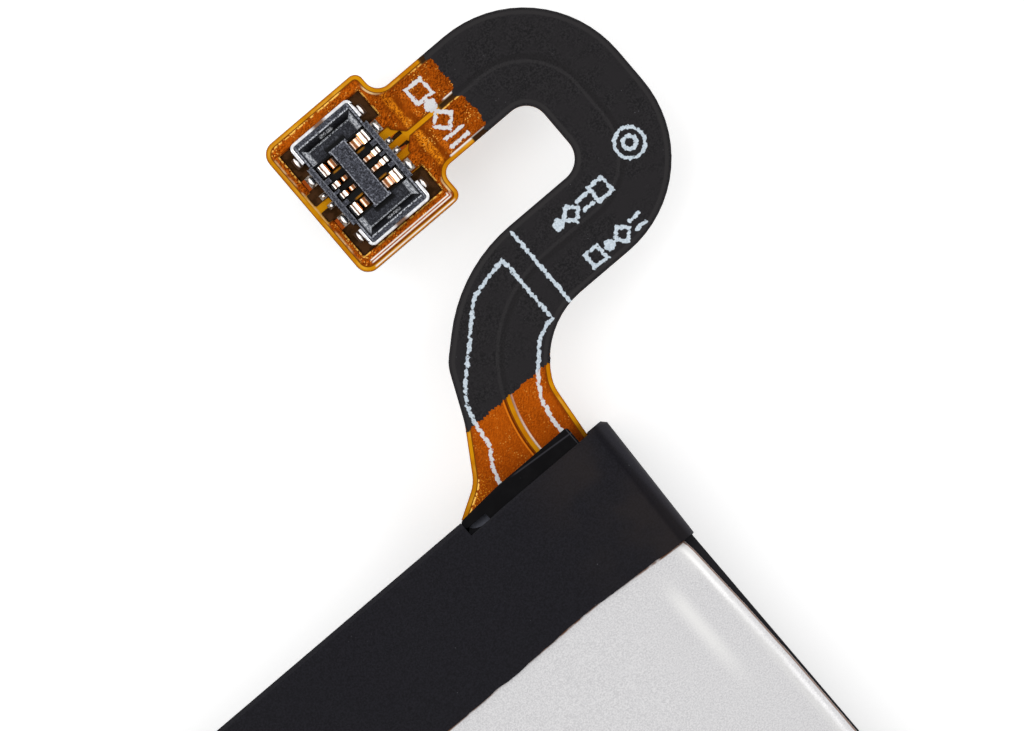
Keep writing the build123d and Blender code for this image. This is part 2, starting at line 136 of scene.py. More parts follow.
class Finish:
    # a procedural material that reads Object coordinates in millimetres
    def __init__(self, name, tone, rough, metal=0.0, specular=0.5):
        self.material = bpy.data.materials.new(name)
        self.material.use_nodes = True
        self.nodes, self.links = self.material.node_tree.nodes, self.material.node_tree.links
        self.shader = self.nodes["Principled BSDF"]
        self.set("Base Color", (*srgb(*tone), 1.0))
        self.set("Roughness", rough)
        self.set("Metallic", metal)
        self.set("Specular IOR Level", specular)
        where = self.make("TexCoord").outputs["Object"]
        self.coords = self.make("VectorMath", {0: where, "Scale": 1000.0}, operation="SCALE").outputs[0]

    def set(self, socket, value):
        self.shader.inputs[socket].default_value = value

    def link(self, output, socket):
        self.links.new(output, self.shader.inputs[socket])

    def make(self, kind, sockets=(), **settings):
        # a node, with its sockets linked to an output or set to a value
        node = self.nodes.new("ShaderNode" + kind)
        for name, value in settings.items():
            setattr(node, name, value)
        for socket, value in dict(sockets).items():
            if isinstance(value, bpy.types.NodeSocket):
                self.links.new(value, node.inputs[socket])
            else:
                node.inputs[socket].default_value = value
        return node

    def split(self, vector):
        return self.make("SeparateXYZ", {0: vector}).outputs

    def places(self):
        # x and y from the head's corner, and the height
        x, y, z = self.split(self.coords)
        return self.math("SUBTRACT", x, cornerX), self.math("SUBTRACT", y, cornerY), z

    def facing(self):
        return self.split(self.make("NewGeometry").outputs["Normal"])

    def scaled(self, size, stretch=(1, 1, 1)):
        return self.make("Mapping", {0: self.coords, "Scale": [share / size for share in stretch]}).outputs[0]

    def noise(self, size, detail=3.0, rough=0.5, stretch=(1, 1, 1)):
        sockets = {"Vector": self.scaled(size, stretch), "Scale": 1.0, "Detail": detail, "Roughness": rough}
        return self.make("TexNoise", sockets).outputs[0]

    def streaks(self, size, stretch):
        # fine noise drawn out along a slant
        x, y, _ = self.split(self.coords)
        long = self.math("DIVIDE", self.math("ADD", x, y), size * stretch)
        short = self.math("DIVIDE", self.math("SUBTRACT", x, y), size)
        spot = self.make("CombineXYZ", {0: long, 1: short}).outputs[0]
        return self.make("TexNoise", {"Vector": spot, "Scale": 1.0, "Detail": 3.0}).outputs[0]

    def cells(self, size):
        return self.make("TexVoronoi", {"Vector": self.scaled(size), "Scale": 1.0}).outputs["Distance"]

    def math(self, operation, *values):
        return self.make("Math", enumerate(values), operation=operation).outputs[0]

    def chain(self, operation, values):
        result = values[0]
        for value in values[1:]:
            result = self.math(operation, result, value)
        return result

    def times(self, *values):
        return self.chain("MULTIPLY", values)

    def plus(self, *values):
        return self.chain("ADD", values)

    def greatest(self, *values):
        return self.chain("MAXIMUM", values)

    def off(self, value, place):
        # how far a value is from a place, without sign
        return self.math("ABSOLUTE", self.math("SUBTRACT", value, place))

    def ramp(self, value, low, high, toLow=0.0, toHigh=1.0):
        sockets = {"Value": value, "From Min": low, "From Max": high, "To Min": toLow, "To Max": toHigh}
        return self.make("MapRange", sockets, interpolation_type="SMOOTHSTEP").outputs[0]

    def within(self, *ramps):
        # 1 where every value is past its ramp
        return self.times(*[self.ramp(value, *ramp) for value, ramp in ramps])

    def near(self, value, target, half):
        # 1 on the target, and 0 from half a width away
        return self.ramp(self.off(value, target), 0.35 * half, half, 1.0, 0.0)

    def patches(self, size, low, high, detail=2.0):
        return self.ramp(self.noise(size, detail), low, high)

    def wander(self, size, amount, detail=2.0):
        # noise on both sides of 0
        return self.times(self.math("SUBTRACT", self.noise(size, detail), 0.5), amount)

    def dustAndSparkle(self, size, core, reach, patchSize, low, high):
        # round specks that gather in patches, used for dust and for painted sparkle
        specks = self.ramp(self.cells(size), core, reach, 1.0, 0.0)
        return self.times(specks, self.patches(patchSize, low, high))

    def mix(self, factor, a, b):
        a, b = [(*value, 1.0) if isinstance(value, tuple) else value for value in (a, b)]
        return self.make("Mix", {0: factor, 6: a, 7: b}, data_type="RGBA").outputs[2]

    def tones(self, mask, low, high):
        # from one tone to another
        return self.mix(mask, srgb(*low), srgb(*high))

    def over(self, color, *layers):
        # lays tones over a colour, each as its mask, its tone and at times its share
        for mask, tone, *share in layers:
            tone = srgb(*tone) if isinstance(tone, tuple) else tone
            color = self.mix(self.times(mask, *share), color, tone)
        return color

    def paint(self, color, *layers):
        self.link(self.over(color, *layers), "Base Color")

    def roughen(self, size, low, high):
        # noise runs mostly from 0.3 to 0.7
        self.link(self.ramp(self.noise(size, 2.0), 0.3, 0.7, low, high), "Roughness")

    def attribute(self, name):
        return self.make("Attribute", attribute_name=name).outputs["Fac"]

    def bump(self, height, strength, distance):
        node = self.make("Bump", {"Height": height, "Strength": strength, "Distance": distance / 1000})
        self.link(node.outputs[0], "Normal")


def grained(name, tone, rough, size=0.05, metal=0.0, specular=0.2, bump=0.2, depth=0.004, light=1.25):
    finish = Finish(name, tone, rough, metal, specular)
    fine = finish.noise(size, 4.0, 0.6)
    dark = tuple(part / light for part in srgb(*tone))
    bright = tuple(min(part * light, 1.0) for part in srgb(*tone))
    finish.paint(finish.mix(finish.ramp(fine, 0.26, 0.74), dark, bright))
    finish.roughen(size * 40, rough - 0.05, rough + 0.05)
    finish.bump(fine, bump, depth)
    return finish.material


filmFinish = grained("backFilm", (24, 23, 27), 0.45, size=0.08, specular=0.12, bump=0.15,
                     depth=0.005, light=1.1)
mouldingFinish = grained("blackMoulding", (30, 30, 32), 0.45)
boardFinish = grained("boardLaminate", (24, 66, 42), 0.35, size=0.1, bump=0.1)
chipFinish = grained("chipBlack", (44, 44, 46), 0.55, size=0.04)
ceramicFinish = grained("chipCeramic", (150, 118, 84), 0.5, bump=0.15)
aluminiumFinish = grained("tabAluminium", (200, 200, 202), 0.38, metal=1.0, bump=0.1, light=1.05)
nickelFinish = grained("tabNickel", (186, 180, 170), 0.35, metal=1.0, bump=0.1, light=1.05)
paperFinish = grained("insulatingPaper", (214, 210, 196), 0.8, size=0.08, bump=0.3, light=1.06)
bareCopperFinish = grained("bareCopper", (158, 68, 2), 0.4, metal=0.3, specular=0.1, light=1.3)
stiffenerFinish = grained("stiffenerPlate", (70, 60, 44), 0.5, size=0.06)
solderFinish = grained("solder", (176, 176, 178), 0.3, metal=1.0, bump=0.5, depth=0.01, light=1.2)
backBlackFinish = grained("blackFilmBack", (33, 31, 32), 0.55, size=0.03, specular=0.1, bump=0.35, light=1.15)

# Camera, lights and floor: the view in mm, pixels and degrees, the rest in metres and watts
view = {
    "centreX": -1.15, "centreY": 3.55, "level": 3.2, "roll": 40.4, "tilt": 1.5, "distance": 0.6,
    "pixelsPerMm": 31.0, "pixelsWide": 1024, "sensor": 36.0,
}
lamps = {
    "leftLamp": ((-0.62, 0.10, 0.38), 0.40, 1.3),
    "rightLamp": ((0.62, 0.02, 0.34), 0.40, 1.5),
    "topLamp": ((-0.15, 0.35, 0.75), 0.45, 0.9),
}
lampAim = (0.0, 0.03, 0.0)
worldLight = {"diffuse": 0.62, "seen": 1.0}
ground = {"half": 3.0, "drop": 0.00002, "tone": (251.6, 251.6, 251.6), "glow": 0.36}


def placeCamera():
    data = bpy.data.cameras.new("camera")
    camera = addObject("camera", data)
    across = view["pixelsWide"] / view["pixelsPerMm"] / 1000
    data.sensor_width = view["sensor"]
    data.lens = data.sensor_width * view["distance"] / across
    data.clip_start, data.clip_end = 0.01, 10.0
    target = Vector((cornerX + view["centreX"], cornerY + view["centreY"], view["level"])) / 1000
    roll, tilt = math.radians(view["roll"]), math.radians(view["tilt"])
    up = Vector((math.sin(roll), math.cos(roll), 0.0))  # picture's up in the row frame
    back = (Vector((0, 0, 1)) * math.cos(tilt) - up * math.sin(tilt)).normalized()
    right = up.cross(back).normalized()
    top = back.cross(right).normalized()
    camera.location = target + back * view["distance"]
    camera.rotation_mode = "QUATERNION"
    camera.rotation_quaternion = Matrix((right, top, back)).transposed().to_quaternion()
    bpy.context.scene.camera = camera


def addLamp(name, place, size, watts):
    data = bpy.data.lights.new(name, "AREA")
    data.shape, data.size, data.energy = "SQUARE", size, watts
    lamp = addObject(name, data)
    lamp.location = place
    lamp.rotation_mode = "QUATERNION"
    lamp.rotation_quaternion = (Vector(place) - Vector(lampAim)).to_track_quat("Z", "Y")


def shownRays(tree):
    # 1 for rays that show the background: from the camera, in a mirror and through glass
    rays = tree.nodes.new("ShaderNodeLightPath")
    shown = rays.outputs["Is Camera Ray"]
    for output in ("Is Glossy Ray", "Is Transmission Ray"):
        either = tree.nodes.new("ShaderNodeMath")
        either.operation = "MAXIMUM"
        tree.links.new(shown, either.inputs[0])
        tree.links.new(rays.outputs[output], either.inputs[1])
        shown = either.outputs[0]
    return shown


def lightStage():
    for name, (place, size, watts) in lamps.items():
        addLamp(name, place, size, watts)
    world = bpy.data.worlds.new("studio")
    bpy.context.scene.world = world
    world.use_nodes = True
    tree = world.node_tree
    background = tree.nodes["Background"]
    background.inputs["Color"].default_value = (1, 1, 1, 1)
    strength = tree.nodes.new("ShaderNodeMapRange")
    strength.inputs["To Min"].default_value = worldLight["diffuse"]
    strength.inputs["To Max"].default_value = worldLight["seen"]
    tree.links.new(shownRays(tree), strength.inputs["Value"])
    tree.links.new(strength.outputs[0], background.inputs["Strength"])


def layFloor():
    bm = bmesh.new()
    bmesh.ops.create_grid(bm, x_segments=1, y_segments=1, size=ground["half"])
    bmesh.ops.translate(bm, verts=bm.verts, vec=(0, 0, -ground["drop"]))
    pale = Finish("paleFloor", ground["tone"], 0.9, specular=0.0)
    pale.set("Emission Color", (1, 1, 1, 1))
    pale.link(pale.times(shownRays(pale.material.node_tree), ground["glow"]), "Emission Strength")
    addMesh("floor", bm, pale.material)


placeCamera()
lightStage()
layFloor()
bpy.context.scene.view_settings.view_transform = "Standard"
print("stage: camera, lights and floor are set")

# Flex: fields that place its relief and its colours, in mm from the head's corner
flex = {
    "runLow": 3.93, "runHigh": 7.04, "bendLow": 7.85, "bendHigh": 9.07, "outer": 8.05, "inner": 4.91,
    "middleNeck": 11.43, "neckStart": -3.2, "margin": 0.17, "groove": 0.1, "grid": 0.06,
    "relief": 0.03, "surface": 3.01, "windowDepth": 0.07, "edgeDrop": 0.02, "edgeWidth": 0.05, "wave": 0.004,
    "copperRamp": (-0.04, 0.05), "darkRamp": (-0.02, 0.03), "outlineStep": 0.02,
    "bottom": 2.8, "blackRise": 0.012, "blackShare": 0.55, "blackThick": 0.03,
    "grooveStart": 2.0, "groovePieces": ((4.2, 63), (5.05, 27)), "grooveEnd": -2.3,
}
# the window and what its box holds; every box is left, right, low and high
window = {
    "box": (-2.5, 0.82, 9.33, 13.54),
    "cornersFrom": 0.3, "corners": ((0.2, 0.82, 12.5, 13.54), (0.2, 0.82, 9.33, 10.37)),
    "notches": ((0.2, 1.02, 11.56, 11.7), (0.2, 1.02, 11.18, 11.31), (-2.66, -2.0, 11.54, 12.02),
                (-2.66, -2.0, 10.88, 11.29)),
    "bar": (-3.0, -2.13, 11.29, 11.54),
    "tabs": ((-2.64, -2.05, 12.08, 12.49), (-2.64, -2.05, 10.42, 10.85), (0.3, 1.0, 12.05, 12.49),
             (0.3, 1.0, 10.42, 10.88)),
}
# the copper between the window and the neck: its box, the gap on its left, and its two slanted sides
fan = {
    "box": (-2.7, 1.3, 10.86, 12.06), "leftGap": (-2.9, -2.0, 10.86, 12.06),
    "upper": (11.55, 1.04, 1.16), "lower": (11.32, 0.94, 1.15), "sharpness": 0.7,
}
# the ragged ends of the black film: waves as height, rate and start, humps as height, middle and half width
ends = {
    "rootY": 2.87, "rootRight": 0.5, "neckX": 3.15, "neckLow": 9.4, "reach": 0.42, "teeth": 0.06,
    "waves": ((0.4, 9.1, 0.0), (0.35, 23.7, 1.2), (0.5, 51.0, 0.5)),
    "bulge": 0.13, "humps": ((0.06, 10.6, 0.4), (-0.22, 11.43, 0.14)),
    "lowStep": (10.0, 0.16), "highStep": (12.85, 0.12),
}
ink = {
    "half": 0.062,
    "lines": (
        ((1.63, 3.92), (1.63, 6.85)),
        ((0.83, 3.87), (0.83, 6.35), (0.0, 6.2), (-0.55, 6.05), (-0.85, 5.86), (-1.36, 5.35), (-2.0, 4.74),
         (-2.7, 4.06), (-3.09, 3.49), (-3.22, 3.05), (-3.31, 2.6), (-3.35, 2.1), (-3.5, 1.83), (-3.72, 1.5),
         (-3.82, 1.25), (-3.93, 0.85)),
        ((0.83, 3.9), (0.44, 3.8), (0.0, 3.55), (-0.37, 3.15), (-0.65, 2.85), (-0.9, 2.5), (-1.12, 2.1),
         (-1.2, 1.75), (-1.28, 1.4), (-1.31, 0.85)),
    ),
    # plain marks in rows, each as kind, x, y and half size
    "marks": (
        ("ring", 6.42, 6.58, 0.5), ("ring", 6.42, 6.58, 0.22), ("dot", 2.95, 6.04, 0.2),
        ("diamond", 3.48, 6.04, 0.3), ("bar", 4.08, 6.22, 0.2), ("bar", 4.08, 5.86, 0.2),
        ("square", 4.72, 6.04, 0.28), ("square", 3.2, 4.48, 0.26), ("dot", 3.78, 4.48, 0.2),
        ("diamond", 4.32, 4.48, 0.3), ("bar", 4.95, 4.66, 0.2), ("bar", 4.95, 4.3, 0.2),
        ("square", 2.3, 12.25, 0.3), ("dot", 2.3, 11.65, 0.22), ("diamond", 2.3, 11.05, 0.36),
        ("bar", 2.3, 10.5, 0.34), ("bar", 2.3, 10.2, 0.34),
    ),
}
# where the amber film catches light or stays dark: the softness of the boxes' sides, and the boxes
regions = {
    "glintField": (0.06, (
        (-2.6, 0.4, 13.7, 13.95), (0.72, 0.95, 12.45, 13.6), (0.72, 0.95, 9.3, 10.42), (2.2, 3.3, 12.7, 12.9),
        (2.2, 3.25, 11.2, 11.36), (-5.3, -4.3, 0.75, 1.5), (-2.7, 0.8, 9.2, 9.42), (-2.7, -2.0, 12.4, 12.6),
        (-2.62, -2.42, 12.5, 13.6), (-2.62, -2.42, 9.3, 10.4))),
    "whiteHighlightField": (0.05, ((2.7, 3.2, 11.46, 11.64), (1.7, 3.2, 9.94, 10.12))),
    "shineField": (0.08, ((-2.45, 0.95, 8.7, 9.2),)),
    "curveHighlightField": (0.15, ((0.8, 1.5, 9.05, 9.95), (0.8, 1.45, 12.95, 13.7), (-2.95, -2.6, 9.4, 13.6))),
    "brownField": (0.03, ((2.93, 3.4, 12.83, 13.2), (2.6, 3.4, 9.7, 10.02), (2.45, 3.4, 11.32, 11.54))),
}


def arcPoints(x, y, radius, start, end, count=24):
    angles = [math.radians(start + (end - start) * k / count) for k in range(count + 1)]
    return [(x + radius * math.cos(angle), y + radius * math.sin(angle)) for angle in angles]


def middleLine():
    middleX, middleRun = (flex["inner"] + flex["outer"]) / 2, (flex["runLow"] + flex["runHigh"]) / 2
    high, low = flex["middleNeck"] - flex["bendHigh"], flex["bendLow"] - middleRun
    points = [(flex["neckStart"], flex["middleNeck"])]
    points += arcPoints(middleX - high, flex["bendHigh"], high, 90, 0)
    points += arcPoints(middleX - low, flex["bendLow"], low, 0, -90)
    x, y, heading = flex["grooveStart"], middleRun, 90.0
    for radius, turn in flex["groovePieces"]:
        centreX = x - radius * math.cos(math.radians(heading))
        centreY = y - radius * math.sin(math.radians(heading))
        points += arcPoints(centreX, centreY, radius, heading, heading + turn)
        x, y = points[-1]
        heading += turn
    return points + [(x, flex["grooveEnd"])]


def stretches(line, points):
    # for each stretch of a line, the distance of every point, and the side it lies on as a sign
    for (ax, ay), (bx, by) in zip(line[:-1], line[1:]):
        dx, dy = bx - ax, by - ay
        px, py = points[:, 0] - ax, points[:, 1] - ay
        t = np.clip((px * dx + py * dy) / (dx * dx + dy * dy + 1e-12), 0, 1)
        yield np.hypot(px - t * dx, py - t * dy), dx * py - dy * px


def distanceTo(line, points):
    return np.min([gap for gap, _ in stretches(line, points)], axis=0)


def grooveDistance(points):
    # positive on the outer side of the two bends and above the run
    best, outer = np.full(len(points), 1e9), np.zeros(len(points), dtype=bool)
    for gap, side in stretches(middleLine(), points):
        outer = np.where(gap < best, side < 0, outer)
        best = np.minimum(best, gap)
    return np.where(outer, best, -best)


def markDistance(points, kind, x, y, size):
    dx, dy = np.abs(points[:, 0] - x), np.abs(points[:, 1] - y)
    if kind == "ring":
        return np.abs(np.hypot(dx, dy) - size)
    if kind == "square":
        return np.abs(np.maximum(dx, dy) - size)
    if kind == "diamond":
        return np.abs(dx + dy - size) * 0.7
    if kind == "dot":
        return np.maximum(np.hypot(dx, dy) - size + ink["half"], 0.0)
    return np.hypot(np.maximum(dx - size, 0.0), dy)


def inkField(points):
    # positive under the white print
    lines = [distanceTo(line, points) for line in ink["lines"]]
    marks = [markDistance(points, *mark) for mark in ink["marks"]]
    return ink["half"] - np.min(lines + marks, axis=0)


def outline(bm):
    return [edge for edge in bm.edges if edge.is_boundary]


def edgeLine(bm):
    # the sheet's outline as a dense point set in a tree
    spots = []
    for edge in outline(bm):
        a, b = edge.verts[0].co, edge.verts[1].co
        count = max(1, int((b - a).length / flex["outlineStep"]))
        spots += [a.lerp(b, k / count) for k in range(count)]
    tree = kdtree.KDTree(len(spots))
    for index, spot in enumerate(spots):
        tree.insert((spot.x, spot.y, 0), index)
    tree.balance()
    return tree


def topSheet(name):
    # the flat front of a CAD node as one face, in mm from the head's corner
    bm = fromNode(name)
    bm.normal_update()
    bmesh.ops.delete(bm, geom=[face for face in bm.faces if face.normal.z < 0.9], context="FACES")
    bmesh.ops.dissolve_faces(bm, faces=bm.faces, use_verts=False)
    shift(bm, -1)
    return bm


def copperField(points, edge, groove):
    # positive where a conductor lies under the film
    x, y = points[:, 0], points[:, 1]
    copper = np.minimum(edge - flex["margin"], groove - flex["groove"])
    (upperY, upperSlope, upperX), (lowerY, lowerSlope, lowerX) = fan["upper"], fan["lower"]
    upper = (y - upperY) + upperSlope * (x - upperX)
    lower = (lowerY - y) + lowerSlope * (x - lowerX)
    slanted = np.where(y > flex["middleNeck"], upper, lower) * fan["sharpness"]
    inFan = insideBox(points, *fan["box"]) > 0
    copper = np.where(inFan, np.minimum(copper, slanted), copper)
    copper = np.minimum(copper, -insideBox(points, *window["box"]))
    copper = np.where(inFan, np.minimum(copper, -insideBox(points, *fan["leftGap"])), copper)
    return np.maximum(copper, insideBoxes(points, window["tabs"]))


def darkField(points):
    # positive where the window shows the dark base
    dark = insideBox(points, *window["box"])
    dark = np.where(points[:, 0] > window["cornersFrom"], insideBoxes(points, window["corners"]), dark)
    dark = np.maximum(dark, insideBoxes(points, window["notches"]))
    return np.minimum(dark, -insideBox(points, *window["bar"]))


def reliefAt(points, edge, side, soft=1.0):
    copper, dark = copperField(points, edge, np.abs(side)), darkField(points)
    low, high = flex["copperRamp"]
    height = flex["surface"] - flex["relief"] * (1 - smooth(copper, low * soft, high * soft))
    height -= flex["windowDepth"] * smooth(dark, *flex["darkRamp"])
    height -= flex["edgeDrop"] * (1 - smooth(edge, 0.0, flex["edgeWidth"]))
    wave = flex["wave"] * np.sin(points[:, 0] * 2.1 + 1.3) * np.sin(points[:, 1] * 1.7)
    return height + wave, copper, dark


def storeFields(piece, fields):
    # vertices past the end of the values are on the rim and the back
    for name, values in fields.items():
        layer = piece.data.attributes.new(name, "FLOAT", "POINT")
        rest = np.full(len(piece.data.vertices) - len(values), -1.0)
        layer.data.foreach_set("value", np.concatenate([values, rest]).astype(np.float32))


def sheetPoints(bm):
    return np.array([(vertex.co.x, vertex.co.y) for vertex in bm.verts])


def sheetFields(points, tree):
    edge = np.array([tree.find((x, y, 0))[2] for x, y in points])
    return edge, grooveDistance(points)


def raiseTo(bm, heights):
    for vertex, height in zip(bm.verts, heights):
        vertex.co.z = height


def newRim(bm):
    # a second row of vertices on the sheet's outline
    rim = bmesh.ops.extrude_edge_only(bm, edges=outline(bm))
    return [part for part in rim["geom"] if isinstance(part, bmesh.types.BMVert)]


def amberFlex():
    bm = topSheet("flex_back_coverlay")
    tree = edgeLine(bm)
    cutGrid(bm, flex["grid"], window["box"][:2], window["box"][2:])
    points = sheetPoints(bm)
    edge, side = sheetFields(points, tree)
    height, copper, dark = reliefAt(points, edge, side)
    raiseTo(bm, height)
    for vertex in newRim(bm):
        vertex.co.z = flex["bottom"]
    bmesh.ops.holes_fill(bm, edges=outline(bm), sides=0)
    bmesh.ops.recalc_face_normals(bm, faces=bm.faces)
    shift(bm, 1)
    piece = addPiece("amberFlex", bm, amberFinish(),
                     ("flex_base_film", "flex_coverlay", "flex_back_coverlay"))
    storeFields(piece, {"copperField": copper, "darkField": dark, "inkField": inkField(points),
                        "edgeField": edge, "grooveField": side})
    storeFields(piece, {name: smooth(insideBoxes(points, boxes), 0.0, soft)
                        for name, (soft, boxes) in regions.items()})


def inkMask(finish):
    return finish.ramp(finish.plus(finish.attribute("inkField"), finish.wander(0.13, 0.2)), -0.01, 0.014)


# Where tones of the amber film start and where they are full
amber = {
    "calmY": (3.3, 2.7), "shadeTowardHeadY": (2.3, 0.9), "slantX": (-4.4, -3.6), "neckX": (0.8, 1.4),
    "neckY": (9.0, 9.5), "sparkleX": (-3.9, -4.7), "sparkleY": (2.2, 1.5), "rootY": (3.0, 2.8),
    "paleY": (2.7, 1.3), "shadowX": (-1.2, -1.0), "shadowY": (1.0, 0.5), "shineLines": (0.08, 0.24, 0.33),
    # folds in the copper at the neck, painted as bands of highlight and shade, each as its place, half width
    # and tone
    "foldLightAndShade": ((1.1, 0.22, (84, 34, 4)), (1.38, 0.2, (248, 150, 26)), (1.62, 0.14, (96, 38, 4)),
              (1.85, 0.15, (206, 106, 20))),
}


def copperTone(finish, grain):
    # the conductors as they show through the amber film
    x, y, _ = finish.places()
    copper = finish.attribute("copperField")
    calm = finish.ramp(y, *amber["calmY"])  # the grain is finer near the head
    neck = finish.within((x, amber["neckX"]), (y, amber["neckY"]))
    slant = finish.times(finish.ramp(finish.streaks(0.06, 5.0), 0.54, 0.64),
                         finish.ramp(x, *amber["slantX"]))
    bent = finish.plus(x, finish.wander(1.0, 0.3))
    broken = finish.times(neck, finish.patches(0.35, 0.3, 0.62, 3.0), finish.ramp(grain, 0.4, 0.58))
    foldLightAndShade = [(finish.times(finish.near(bent, place, half), broken), tone, 0.8)
             for place, half, tone in amber["foldLightAndShade"]]
    # painted sparkle: bright specks of painted highlight in the copper
    specks = finish.times(finish.dustAndSparkle(0.08, 0.16, 0.34, 0.42, 0.5, 0.62),
                          finish.ramp(calm, 0.0, 1.0, 1.0, 0.45))
    sparkle = finish.times(finish.within((x, amber["sparkleX"]), (y, amber["sparkleY"])), calm,
                           finish.patches(0.06, 0.56, 0.64))
    glint = finish.times(finish.near(copper, 0.015, 0.055), finish.patches(0.11, 0.41, 0.52),
                         finish.attribute("glintField"))
    return finish.over(
        finish.tones(finish.ramp(grain, 0.38, 0.62), (84, 27, 1), (200, 94, 12)),
        (finish.ramp(finish.noise(1.1, 3.0, 0.6), 0.42, 0.7), (190, 88, 10), 0.6),
        (slant, (214, 112, 22), 0.6),
        (finish.ramp(finish.streaks(0.07, 4.0), 0.46, 0.36), (78, 26, 2), 0.5),
        (calm, (166, 74, 8), 0.5),
        # painted shade, darker towards the head
        (finish.ramp(y, *amber["shadeTowardHeadY"]), (120, 44, 4), 0.35),
        (neck, (92, 34, 4), 0.35),
        *foldLightAndShade,
        (finish.ramp(copper, 0.0, 0.12, 1.0, 0.0), (110, 40, 4), 0.55),  # dips at its rim
        (specks, (244, 176, 76)),
        (sparkle, (246, 160, 40), 0.8),
        (glint, (250, 192, 88)))


def amberFinish():
    finish = Finish("amberFilm", (212, 145, 10), 0.28, specular=0.1)
    finish.set("Specular Tint", (*srgb(255, 190, 90), 1.0))
    grain = finish.noise(0.075, 4.0, 0.7, stretch=(1.0, 1.6, 1.0))
    x, y, _ = finish.places()
    copper, edge, groove = [finish.attribute(name) for name in ("copperField", "edgeField", "grooveField")]
    copperMask = finish.ramp(finish.plus(copper, finish.wander(0.07, 0.03, 3.0)), -0.008, 0.008)
    darkMask = finish.ramp(finish.attribute("darkField"), -0.008, 0.008)
    film = finish.over(
        finish.tones(finish.patches(0.9, 0.35, 0.65, 3.0), (196, 120, 6), (216, 146, 12)),
        (finish.near(edge, 0.0, 0.045), (160, 86, 8)),  # darker at the cut edge
        (finish.near(copper, -0.01, 0.03), (118, 62, 10)))
    root = finish.ramp(y, *amber["rootY"])
    pale = finish.times(finish.near(groove, -0.11, 0.05), root, finish.ramp(y, *amber["paleY"], 0.3, 0.85))
    shine = finish.greatest(*[finish.near(edge, place, 0.035) for place in amber["shineLines"]])
    # painted highlight: a pale line just inside the edge at the neck's curves and the pad's left side
    curveHighlight = finish.times(finish.near(edge, 0.2, 0.045), finish.attribute("curveHighlightField"),
                         finish.patches(0.5, 0.36, 0.6))
    gleam = finish.times(finish.near(edge, 0.1, 0.05), finish.patches(0.8, 0.5, 0.66))
    headShadow = finish.within((x, amber["shadowX"]), (y, amber["shadowY"]))
    inked = inkMask(finish)
    finish.paint(
        finish.mix(copperMask, film, copperTone(finish, grain)),
        # beside the amber strip at the root: a painted highlight as a pale band on its right, and painted
        # shade and a painted highlight as a dark and a bright line on its left
        (pale, (228, 206, 190)),
        (finish.times(finish.near(groove, 0.14, 0.035), root), (96, 38, 4)),
        (finish.times(finish.near(groove, 0.2, 0.035), root), (216, 118, 24)),
        # painted highlights: white lines along the lower edges of the copper
        (finish.times(finish.near(copper, 0.0, 0.05), finish.attribute("whiteHighlightField")), (246, 240, 232)),
        (finish.times(shine, finish.attribute("shineField")), (244, 236, 226)),
        (curveHighlight, (240, 206, 150), 0.8),
        (gleam, (240, 178, 60), 0.5),
        (darkMask, finish.tones(finish.patches(0.3, 0.4, 0.6, 3.0), (44, 26, 15), (72, 46, 29))),
        (finish.attribute("brownField"), (48, 30, 18)),
        (headShadow, (70, 26, 3), 0.6),
        (inked, (214, 214, 216)))
    gloss = finish.ramp(copperMask, 0.0, 1.0, 0.2, 0.38)
    finish.link(finish.greatest(gloss, finish.times(inked, 0.6)), "Roughness")
    finish.link(finish.times(copperMask, 0.3), "Metallic")
    finish.bump(finish.plus(finish.times(grain, copperMask), finish.times(inked, 1.4)), 0.5, 0.007)
    return finish.material


def blackFinish():
    finish = Finish("blackFilm", (33, 31, 32), 0.5, specular=0.1)
    grain, smear = finish.noise(0.06, 4.0, 0.65), finish.noise(0.9, 3.0, 0.6)
    groove, inked = finish.attribute("grooveField"), inkMask(finish)
    finish.paint(
        finish.tones(finish.ramp(grain, 0.38, 0.62), (16, 15, 17), (40, 38, 40)),
        (finish.ramp(smear, 0.35, 0.7), (34, 32, 34)),
        # a painted highlight just outside the middle groove, and painted shade along it
        (finish.near(groove, 0.14, 0.08), (52, 50, 51), 0.4),
        (finish.near(groove, -0.02, 0.12), (22, 20, 21), 0.45),
        # painted sheen: a lighter band just inside the edge
        (finish.near(finish.attribute("edgeField"), 0.15, 0.09), (44, 42, 43)),
        (finish.dustAndSparkle(0.14, 0.05, 0.12, 0.6, 0.6, 0.68), (96, 96, 100)),
        (inked, finish.tones(finish.ramp(grain, 0.4, 0.6), (186, 199, 210), (214, 225, 234))))
    finish.link(finish.ramp(smear, 0.35, 0.65, 0.44, 0.56), "Roughness")
    finish.bump(finish.plus(grain, finish.times(inked, 1.5)), 0.5, 0.005)
    return finish.material


def teeth(place):
    # the ragged end of the black film, by its place along the end
    waves = sum(height * math.sin(place * rate + start) for height, rate, start in ends["waves"])
    return ends["teeth"] * waves


def neckEnd(y):
    humps = sum(height * math.exp(-((y - middle) / half) ** 2) for height, middle, half in ends["humps"])
    (low, lowStep), (high, highStep) = ends["lowStep"], ends["highStep"]
    return ends["bulge"] + humps - lowStep * (y < low) - highStep * (y > high) + teeth(y)


